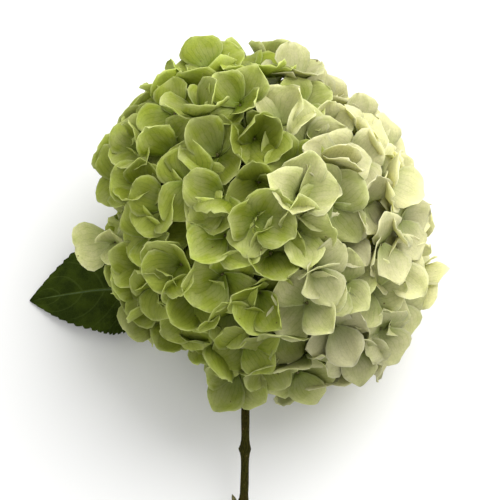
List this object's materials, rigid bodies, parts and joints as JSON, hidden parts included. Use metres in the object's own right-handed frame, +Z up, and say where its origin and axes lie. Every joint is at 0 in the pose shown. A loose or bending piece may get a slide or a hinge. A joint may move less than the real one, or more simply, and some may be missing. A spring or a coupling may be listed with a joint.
{
  "type": "cut hydrangea",
  "caption": "Cut mophead hydrangea lying on a surface: a round green and cream head of crowded cupped florets, one toothed leaf, and a cut woody stem.",
  "frame": {"origin": "middle of the bounding box's footprint, on the surface that the flower lies on", "axes": "+X across the flower to the side away from the leaf, +Y along the lie of the stem from its cut end to the crown, +Z up from the surface"},
  "size_m": [0.2525, 0.2916, 0.182],
  "materials": {
    "sepals": "matte",
    "branches": "matte",
    "stem": "satin",
    "buds": "satin",
    "leaf": "satin"
  },
  "bodies": {
    "root": {"cyme_01": "sepals", "cyme_02": "sepals", "cyme_03": "sepals", "cyme_04": "sepals", "cyme_05": "sepals", "cyme_06": "sepals", "cyme_07": "sepals", "cyme_08": "sepals", "cyme_09": "sepals", "cyme_10": "sepals", "cyme_11": "sepals", "cyme_12": "sepals", "cyme_13": "sepals", "cyme_14": "sepals", "cyme_15": "sepals", "cyme_16": "sepals", "cyme_17": "sepals", "cyme_18": "sepals", "cyme_19": "sepals", "cyme_20": "sepals", "cyme_21": "sepals", "cyme_22": "sepals", "cyme_23": "sepals", "cyme_24": "sepals", "cyme_25": "sepals", "cyme_26": "sepals", "cyme_27": "sepals", "cyme_28": "sepals", "cyme_29": "sepals", "cyme_30": "sepals", "cyme_31": "sepals", "cyme_32": "sepals", "cyme_33": "sepals", "cyme_34": "sepals", "cyme_35": "sepals", "cyme_36": "sepals", "cyme_37": "sepals", "cyme_38": "sepals", "cyme_39": "sepals", "cyme_40": "sepals", "cyme_41": "sepals", "cyme_42": "sepals", "cyme_43": "sepals", "cyme_44": "sepals", "cyme_45": "sepals", "cyme_46": "sepals", "ray_1": "branches", "ray_2": "branches", "ray_3": "branches", "ray_4": "branches", "ray_5": "branches", "ray_6": "branches", "ray_7": "branches", "ray_8": "branches", "ray_9": "branches", "stem": "stem", "bud": "buds", "leaf": "leaf"}
  },
  "joints": []
}
